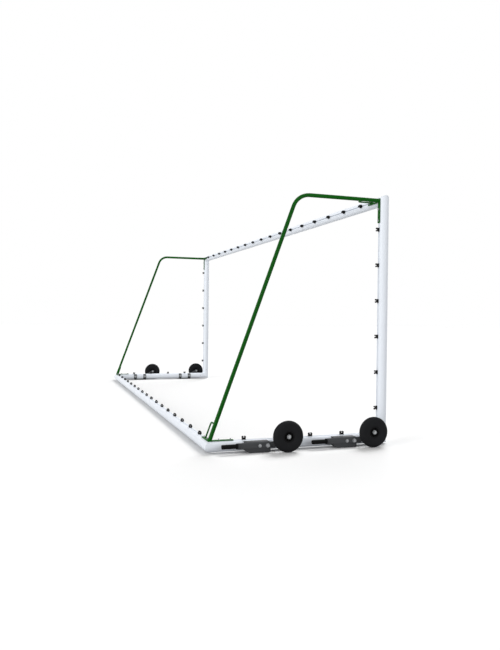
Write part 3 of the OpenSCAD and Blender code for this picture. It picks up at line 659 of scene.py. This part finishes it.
def netClip():
    shape = clipShape
    pad = shape["padThick"]
    lip = shape["lip"]
    foot = shape["footThick"]
    padSize = (shape["padLength"], shape["padWidth"], pad)
    neckSize = (shape["footLength"], shape["neck"], lip + pad)
    footSize = (shape["footLength"], shape["footWidth"], foot)
    pieces = [
        roundedBlock("clipModel", padSize, pad / 2, shape["soft"]),
        roundedBlock("clipNeck", neckSize, (pad - lip) / 2, shape["neckSoft"]),
        roundedBlock("clipFoot", footSize, -lip - foot / 2, shape["footSoft"]),
    ]
    rise = Matrix.Translation((0, 0, pad + shape["hook"] - shape["sink"]))
    for way in (-1, 1):
        lean = Matrix.Rotation(way * radians(shape["lean"]), 4, "Y")
        shift = Matrix.Translation((way * shape["hookPitch"] / 2, 0, 0))
        pieces.append(settle(clipHook(way), shift @ lean @ rise))
    return joined("clipModel", pieces)


# Each row: the node, the bar that carries it, the bar's direction and the way its groove faces
clipRows = [
    ("crossbar_clips", "crossbar", axisX, axisY),
    ("rear_bar_clips", "rear_bar", axisX, axisZ),
    ("left_post_clips", "left_post", axisZ, axisY),
    ("right_post_clips", "right_post", axisZ, axisY),
    ("left_side_clips", "left_side_bar", axisY, axisZ),
    ("right_side_clips", "right_side_bar", axisY, axisZ),
]
clipModel = netClip()
clipCount = 0
for node, bar, run, face in clipRows:
    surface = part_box(bar)[1].dot(face)
    turnTo = Matrix((run, face.cross(run), face)).transposed().to_4x4()
    made = []
    for box in islandsOf(node):
        middle = boxMiddle(box)
        spot = middle + (surface - middle.dot(face)) * face
        made.append(settle(copyOf(clipModel, node + "_one"), Matrix.Translation(spot) @ turnTo))
    clipCount += len(made)
    row = joined(node.replace("clips", "moulded_clips"), made)
    makeActive(row)
    smoothBelow(clipShape["smoothAngle"])
    finishPiece(row, "clip_plastic", "frame", node)
discard(clipModel)
print("net clips made:", clipCount)


# Fasteners: heads, washers and nuts with broken edges

boltShape = {
    "pivot": {"head": 0.03, "headHigh": 0.014, "washer": 0.021, "washerThick": 0.003, "shank": 0.01,
              "nut": 0.03, "nutHigh": 0.01, "nutWasher": True, "turn": (0, 0.35)},
    "lock": {"head": 0.022, "headHigh": 0.009, "washer": 0.017, "washerThick": 0.0025, "shank": 0.006,
             "nut": 0.019, "nutHigh": 0.01, "nutWasher": False, "turn": (0.2, 0.3)},
    "axle": {"head": 0.03, "headHigh": 0.014, "washer": 0.021, "washerThick": 0.003, "shank": 0.01,
             "nut": 0.03, "nutHigh": 0.01, "nutWasher": False, "turn": (0.2, 0.3)},
}
boltEdge = {"headChamfer": 0.0016, "nutChamfer": 0.0014, "chamferRun": 1.5, "hexSmooth": 20,
            "washerSoft": 0.3, "washerHole": 0.9, "washerSegments": 40, "tip": 0.1,
            "threadProud": 0.0018, "segments": 32}
slotBoltShape = {"washer": 0.012, "washerThick": 0.002, "nut": 0.015, "nutHigh": 0.006, "nutChamfer": 0.0008,
                 "dome": 0.0068, "domeHigh": 0.0074, "domeRoom": 0.0075, "domeFoot": 0.001,
                 "domeArc": (12, 84), "domeSteps": 6, "head": 0.0085, "headHigh": 0.005,
                 "headSoft": 0.0006, "shank": 0.004, "shankSegments": 24, "shankInHead": 0.001,
                 "shankInNut": 0.002, "turn": 0.25}


def hexHead(name, across, height, chamfer):  # a hexagon with its rim broken towards the top
    deselectAll()
    straight = height - chamfer
    bpy.ops.mesh.primitive_cylinder_add(vertices=6, radius=across / 2 / cos(pi / 6), depth=straight)
    piece = bpy.context.object
    piece.name = name
    editAll(piece)
    bpy.ops.transform.translate(value=(0, 0, straight / 2))
    selectFaces(piece, facesUp)
    bpy.ops.mesh.inset(thickness=chamfer * boltEdge["chamferRun"], depth=0)
    bpy.ops.transform.translate(value=(0, 0, chamfer))
    cleanUp(piece, boltEdge["hexSmooth"])
    return piece


def washer(name, outer, inner, thick):
    soft = thick * boltEdge["washerSoft"]
    outline = [(inner, 0), (outer - soft, 0), (outer, soft), (outer, thick - soft), (outer - soft, thick)]
    return turned(name, outline + [(inner, thick), (inner, 0)], boltEdge["washerSegments"], ring=True)


def throughBolt(name, shape, length):  # local Z from the nut's end to the head's end
    headStart = length - shape["headHigh"]
    radius = shape["shank"]
    hole = radius * boltEdge["washerHole"]
    thick = shape["washerThick"]
    head = hexHead(name, shape["head"], shape["headHigh"], boltEdge["headChamfer"])
    settle(head, Matrix.Translation((0, 0, headStart)))
    ring = washer(name + "Washer", shape["washer"], hole, thick)
    settle(ring, Matrix.Translation((0, 0, headStart - thick)))
    tip = radius * boltEdge["tip"]
    shankOutline = [(radius - tip, 0), (radius, tip), (radius, headStart)]
    shank = turned(name + "Shank", shankOutline, boltEdge["segments"])
    nutHigh = shape["nutHigh"] - boltEdge["threadProud"]  # the thread stands a little proud
    nut = hexHead(name + "Nut", shape["nut"], nutHigh, boltEdge["nutChamfer"])
    settle(nut, Matrix.Translation((0, 0, shape["nutHigh"])) @ Matrix.Rotation(pi, 4, "X"))
    pieces = [head, ring, shank, nut]
    if shape["nutWasher"]:
        under = washer(name + "Under", shape["washer"], hole, thick)
        pieces.append(settle(under, Matrix.Translation((0, 0, shape["nutHigh"]))))
    return joined(name, pieces)


def slotBolt(length):  # local Z from the head in the groove to the top of the cap nut
    shape = slotBoltShape
    radius = shape["head"]
    high = shape["headHigh"]
    soft = shape["headSoft"]
    domeStart = length - shape["domeRoom"]
    nutStart = domeStart - shape["nutHigh"]
    headOutline = [(radius - soft, 0), (radius, soft), (radius, high - soft), (radius - soft, high)]
    head = turned("slotBoltModel", headOutline, boltEdge["segments"])
    shankOutline = [(shape["shank"], high - shape["shankInHead"]),
                    (shape["shank"], nutStart + shape["shankInNut"])]
    shank = turned("slotBoltShank", shankOutline, shape["shankSegments"])
    ring = washer("slotBoltWasher", shape["washer"], shape["shank"], shape["washerThick"])
    settle(ring, Matrix.Translation((0, 0, nutStart - shape["washerThick"])))
    chamfer = shape["nutChamfer"]
    nut = hexHead("slotBoltNut", shape["nut"], shape["nutHigh"] + chamfer, chamfer)
    settle(nut, Matrix.Translation((0, 0, nutStart)))
    domeOutline = [(shape["dome"], domeStart - shape["domeFoot"]), (shape["dome"], domeStart)]
    for across, up in arc((0, 0), 1, *shape["domeArc"], shape["domeSteps"]):
        domeOutline.append((shape["dome"] * across, domeStart + shape["domeHigh"] * up))
    dome = turned("slotBoltDome", domeOutline, boltEdge["segments"])
    return joined("slotBoltModel", [head, shank, ring, nut, dome])


def placeAcross(box, kind, count):  # a bolt that lies along X, nut inside and head outside
    middle = boxMiddle(box)
    inner = box[1].x if middle.x < 0 else box[0].x
    outward = -axisX if middle.x < 0 else axisX
    first, step = boltShape[kind]["turn"]
    return along(Vector((inner, middle.y, middle.z)), outward, first + step * count)


pivotBoxes = islandsOf("pivot_bolts")
pivotModel = throughBolt("pivotModel", boltShape["pivot"], widthOf(pivotBoxes[0]))
pivots = []
for count, box in enumerate(pivotBoxes):
    pivots.append(settle(copyOf(pivotModel, "pivot_one"), placeAcross(box, "pivot", count)))
finishPiece(joined("pivot_hex_bolts", pivots), "zinc_steel", "frame", "pivot_bolts")
discard(pivotModel)
for kind in ("lock", "axle"):
    model = throughBolt(kind + "Model", boltShape[kind], widthOf(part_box("left_front_" + kind + "_bolt")))
    for count, unit in enumerate(units):
        node = unit + "_" + kind + "_bolt"
        bolt = settle(copyOf(model, unit + "_" + kind + "_hex_bolt"), placeAcross(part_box(node), kind, count))
        finishPiece(bolt, "zinc_steel", unit + "_lever_arm", node)
    discard(model)
slotBoxes = islandsOf("bow_bolts")
plateSplit = boxMiddle(cadBox).z  # the top plates' bolts lie above it, the foot plates' below
slotModel = slotBolt(min(box[1].z - box[0].z for box in slotBoxes if boxMiddle(box).z < plateSplit))
slotBolts = []
for count, box in enumerate(slotBoxes):
    middle = boxMiddle(box)
    if middle.z > plateSplit:
        start = Vector((middle.x, box[0].y, middle.z))
        direction = axisY
    else:
        start = Vector((middle.x, middle.y, box[0].z))
        direction = axisZ
    place = along(start, direction, slotBoltShape["turn"] * count)
    slotBolts.append(settle(copyOf(slotModel, "slot_one"), place))
finishPiece(joined("bow_cap_nut_bolts", slotBolts), "zinc_steel", "frame", "bow_bolts")
discard(slotModel)
print("bolts made:", len(pivots) + 2 * len(units) + len(slotBolts))


# Sheet and plate pieces: copies of the nodes with their edges rounded and their outlines trimmed

sheetShape = {"bracketEdge": 0.0014, "leverEdge": 0.0012, "plateEdge": 0.001, "saddleEdge": 0.0008,
              "flatAngle": 0.5, "edgeAngle": 40}
bracketShape = {"longerFront": 0.012, "longerRear": 0.004, "nose": 0.011, "topBand": 0.02,
                "heel": 0.185, "heelHigh": 0.018, "heelCut": 0.014, "end": 0.2045}
leverShape = {"taller": 0.003, "edge": 0.02, "knee": 0.06, "kneeRadius": 0.0255, "kneePast": 0.0005,
              "onArc": 0.0002, "onLine": 0.0001}
plateShape = {"fuller": 0.0011}


def softened(node, name, width, reshape=None):
    piece = mergedCopy(node, name)
    bpy.ops.mesh.dissolve_limited(angle_limit=radians(sheetShape["flatAngle"]))
    if reshape:
        reshape(piece)
    bpy.ops.object.mode_set(mode="OBJECT")
    roundEdges(piece, width, sheetShape["edgeAngle"])
    smoothBelow(sheetShape["edgeAngle"])
    return piece


def pushVerts(piece, wanted, way):
    selectVerts(piece, wanted)
    bpy.ops.transform.translate(value=way)


def bracketReach(pivot, top):  # longer along the bar, with the lower rear corner cut back
    shape = bracketShape
    nose = pivot.y - shape["nose"]
    heel = pivot.y + shape["heel"]
    end = pivot.y + shape["end"]

    def atFront(vert):
        onTop = vert.co.z > top - shape["topBand"]
        return vert.co.y < nose or (onTop and vert.co.y < pivot.y)

    def atRear(vert):
        return vert.co.y > end

    def atHeel(vert):
        return heel < vert.co.y < end and vert.co.z < shape["heelHigh"]

    def reshape(piece):
        pushVerts(piece, atFront, (0, -shape["longerFront"], 0))
        pushVerts(piece, atRear, (0, shape["longerRear"], 0))
        pushVerts(piece, atHeel, (0, -shape["heelCut"], 0))
    return reshape


def leverHeight(pivot, middle):  # taller above and below its middle line, up to the round knee
    shape = leverShape
    knee = Vector((pivot.x, pivot.y - shape["knee"], middle))
    grow = 1 + shape["taller"] / shape["kneeRadius"]

    def onKnee(vert):
        away = Vector((0, vert.co.y - knee.y, vert.co.z - knee.z)).length
        return abs(away - shape["kneeRadius"]) < shape["onArc"] and vert.co.y < knee.y + shape["onLine"]

    def above(vert):
        return vert.co.y > knee.y + shape["kneePast"] and vert.co.z - middle > shape["edge"]

    def below(vert):
        return vert.co.y > knee.y + shape["kneePast"] and middle - vert.co.z > shape["edge"]

    def reshape(piece):
        pushVerts(piece, below, (0, 0, -shape["taller"]))
        pushVerts(piece, above, (0, 0, shape["taller"]))
        selectVerts(piece, onKnee)
        bpy.ops.transform.resize(value=(1, grow, grow), center_override=knee)
    return reshape


def plateFuller(piece):
    bpy.ops.transform.shrink_fatten(value=plateShape["fuller"], use_even_offset=True)


def pivotOf(unit):  # the pivot bolt nearest to the unit's bracket
    bracketMiddle = boxMiddle(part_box(unit + "_bracket"))
    return min((boxMiddle(box) for box in pivotBoxes), key=lambda spot: (spot - bracketMiddle).length)


for unit in units:
    pivot = pivotOf(unit)
    reach = bracketReach(pivot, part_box(unit + "_bracket")[1].z)
    bracket = softened(unit + "_bracket", unit + "_folded_bracket", sheetShape["bracketEdge"], reach)
    finishPiece(bracket, "dark_steel", "frame", unit + "_bracket")
    height = leverHeight(pivot, boxMiddle(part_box(unit + "_grip")).z)
    lever = softened(unit + "_lever", unit + "_cut_lever", sheetShape["leverEdge"], height)
    finishPiece(lever, "dark_steel", unit + "_lever_arm", unit + "_lever")
for side in sides:
    for end in ("top", "foot"):
        node = side + "_bow_" + end + "_plate"
        plate = softened(node, node + "_soft", sheetShape["plateEdge"], plateFuller)
        finishPiece(plate, "green_steel", "frame", node)
saddles = softened("clamp_saddles", "pressed_saddles", sheetShape["saddleEdge"])
finishPiece(saddles, "dark_steel", "frame", "clamp_saddles")
print("sheet pieces softened")


# Bow tubes and brace rods, a little fuller than the solids

bowShape = {"tubeFuller": 0.0018, "rodFuller": 0.0018, "smoothAngle": 40}


def bowPiece(node, name, fuller):
    piece = mergedCopy(node, name)
    bpy.ops.transform.shrink_fatten(value=fuller, use_even_offset=True)
    bpy.ops.object.mode_set(mode="OBJECT")
    smoothBelow(bowShape["smoothAngle"])
    finishPiece(piece, "green_steel", "frame", node)


for side in sides:
    bowPiece(side + "_bow_tube", side + "_bow_bent_tube", bowShape["tubeFuller"])
    bowPiece(side + "_bow_braces", side + "_bow_bent_rods", bowShape["rodFuller"])
print("bows made:", len(sides))


# Weld beads where the bow tubes and brace rods stand on their plates

weldShape = {"bead": 0.0032, "rodBead": 0.0022, "beadSides": 10, "ripple": 0.0005, "pitch": 0.0042,
             "leastRipples": 8, "rodOff": 0.15, "rod": 0.006}


def weldRing(name, radius, bead):  # a ring with the ripples of a hand weld, round local Z
    count = 2 * max(weldShape["leastRipples"], round(pi * radius / weldShape["pitch"]))
    deselectAll()
    bpy.ops.mesh.primitive_torus_add(major_radius=radius, minor_radius=bead, major_segments=count,
                                     minor_segments=weldShape["beadSides"])
    ring = bpy.context.object
    ring.name = name
    editAll(ring)
    step = 2 * pi / count
    selectVerts(ring, lambda vert: round(atan2(vert.co.y, vert.co.x) / step) % 2 == 0)
    bpy.ops.transform.shrink_fatten(value=weldShape["ripple"])
    bpy.ops.object.mode_set(mode="OBJECT")
    bpy.ops.object.shade_smooth()
    return ring


tubeRadius = widthOf(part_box("left_bow_tube")) / 2
tubeWeld = tubeRadius + bowShape["tubeFuller"]
rodWeld = weldShape["rod"] + bowShape["rodFuller"]
barMiddle = boxMiddle(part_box("rear_bar"))
for side in sides:
    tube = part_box(side + "_bow_tube")
    centreX = boxMiddle(tube).x
    topCentre = Vector((centreX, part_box(side + "_bow_top_plate")[1].y, tube[1].z - tubeRadius))
    footCentre = Vector((centreX, barMiddle.y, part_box(side + "_bow_foot_plate")[1].z))
    stretch = Matrix.Diagonal((1, (tube[1].y - footCentre.y) / tubeRadius, 1, 1))  # the tube leans
    shift = -outwards(side) * weldShape["rodOff"]
    bead = weldShape["bead"]
    rodBead = weldShape["rodBead"]
    welds = [
        settle(weldRing("weldTop", tubeWeld, bead), along(topCentre, axisY)),
        settle(weldRing("weldFoot", tubeWeld, bead), Matrix.Translation(footCentre) @ stretch),
        settle(weldRing("weldTopRod", rodWeld, rodBead), along(topCentre + shift, axisY)),
        settle(weldRing("weldFootRod", rodWeld, rodBead), Matrix.Translation(footCentre + shift)),
    ]
    finishPiece(joined(side + "_bow_welds", welds), "green_steel", "frame")
print("welds made:", len(sides))


# Floor, light and camera

stageLook = {"floorSize": 160, "floorParts": 8, "floor": (0.935, 0.935, 0.935, 1),
             "bounce": (0.44, 0.44, 0.44, 1), "sky": 0.36, "lampDistance": 10}
lampLook = [  # name, strength, angle, where it comes from
    ("keyLight", 2.28, 32, (0.62, -0.62, 1.0)),
    ("rearFill", 2.05, 40, (-0.35, 0.94, 0.24)),
    ("sideFill", 0.8, 40, (-0.75, -0.65, 0.22)),
]


def seenDirectly(start):  # 1 for what the camera, a reflection or a clear part looks at
    seen = start.add("ShaderNodeLightPath", output="Is Camera Ray")
    gloss = start.add("ShaderNodeLightPath", output="Is Glossy Ray")
    clear = start.add("ShaderNodeLightPath", output="Is Transmission Ray")
    return start.maths("MAXIMUM", start.maths("MAXIMUM", seen, gloss), clear)


def whiteStage():
    parts = stageLook["floorParts"]
    deselectAll()
    bpy.ops.mesh.primitive_grid_add(x_subdivisions=parts, y_subdivisions=parts, size=stageLook["floorSize"])
    floor = bpy.context.object
    floor.name = "studio_floor"
    material = bpy.data.materials.new("studioFloor")
    material.use_nodes = True
    tree = material.node_tree
    tree.nodes.remove(tree.nodes["Principled BSDF"])
    start = Wire(tree)
    colour = seenDirectly(start).blend(stageLook["bounce"], stageLook["floor"])
    matt = start.add("ShaderNodeBsdfDiffuse", None, {"Color": colour})
    start.plug(tree.nodes["Material Output"].inputs["Surface"], matt)
    floor.data.materials.append(material)


def studioSky():  # even light all round, and plain white for what the camera and gloss see
    world = bpy.data.worlds.new("studioSky")
    bpy.context.scene.world = world
    world.use_nodes = True
    tree = world.node_tree
    background = tree.nodes["Background"]
    background.inputs["Color"].default_value = (1, 1, 1, 1)
    start = Wire(tree)
    sky = stageLook["sky"]
    start.plug(background.inputs["Strength"], sky + (1 - sky) * seenDirectly(start))


def softSun(name, strength, angle, fromWhere):
    deselectAll()
    direction = Vector(fromWhere)
    bpy.ops.object.light_add(type="SUN", location=direction * stageLook["lampDistance"])
    lamp = bpy.context.object
    lamp.name = name
    lamp.data.energy = strength
    lamp.data.angle = radians(angle)
    lamp.rotation_euler = direction.to_track_quat("Z", "Y").to_euler()


whiteStage()
studioSky()
for lamp in lampLook:
    softSun(*lamp)
bpy.context.scene.view_settings.view_transform = "Standard"

cameraPlace = {"spot": (-9.7193, 2.4689, 1.2884), "yaw": 0.33612, "pitch": -0.01131, "roll": 0.0112,
               "focalPixels": 657.0, "longSidePixels": 650, "sensor": 36.0, "centrePixels": 15.0,
               "clipEnd": 400}


def photoCamera():
    place = cameraPlace
    deselectAll()
    bpy.ops.object.camera_add(location=place["spot"])
    camera = bpy.context.object
    camera.name = "photoCamera"
    camera.rotation_euler = (pi / 2 + place["pitch"], 0, -pi / 2 - place["yaw"])
    camera.rotation_euler.rotate_axis("Z", place["roll"])
    camera.data.sensor_width = place["sensor"]
    camera.data.lens = place["focalPixels"] * place["sensor"] / place["longSidePixels"]
    camera.data.shift_x = -place["centrePixels"] / place["longSidePixels"]
    camera.data.clip_end = place["clipEnd"]
    bpy.context.scene.camera = camera


photoCamera()
print("stage, lights and camera set")
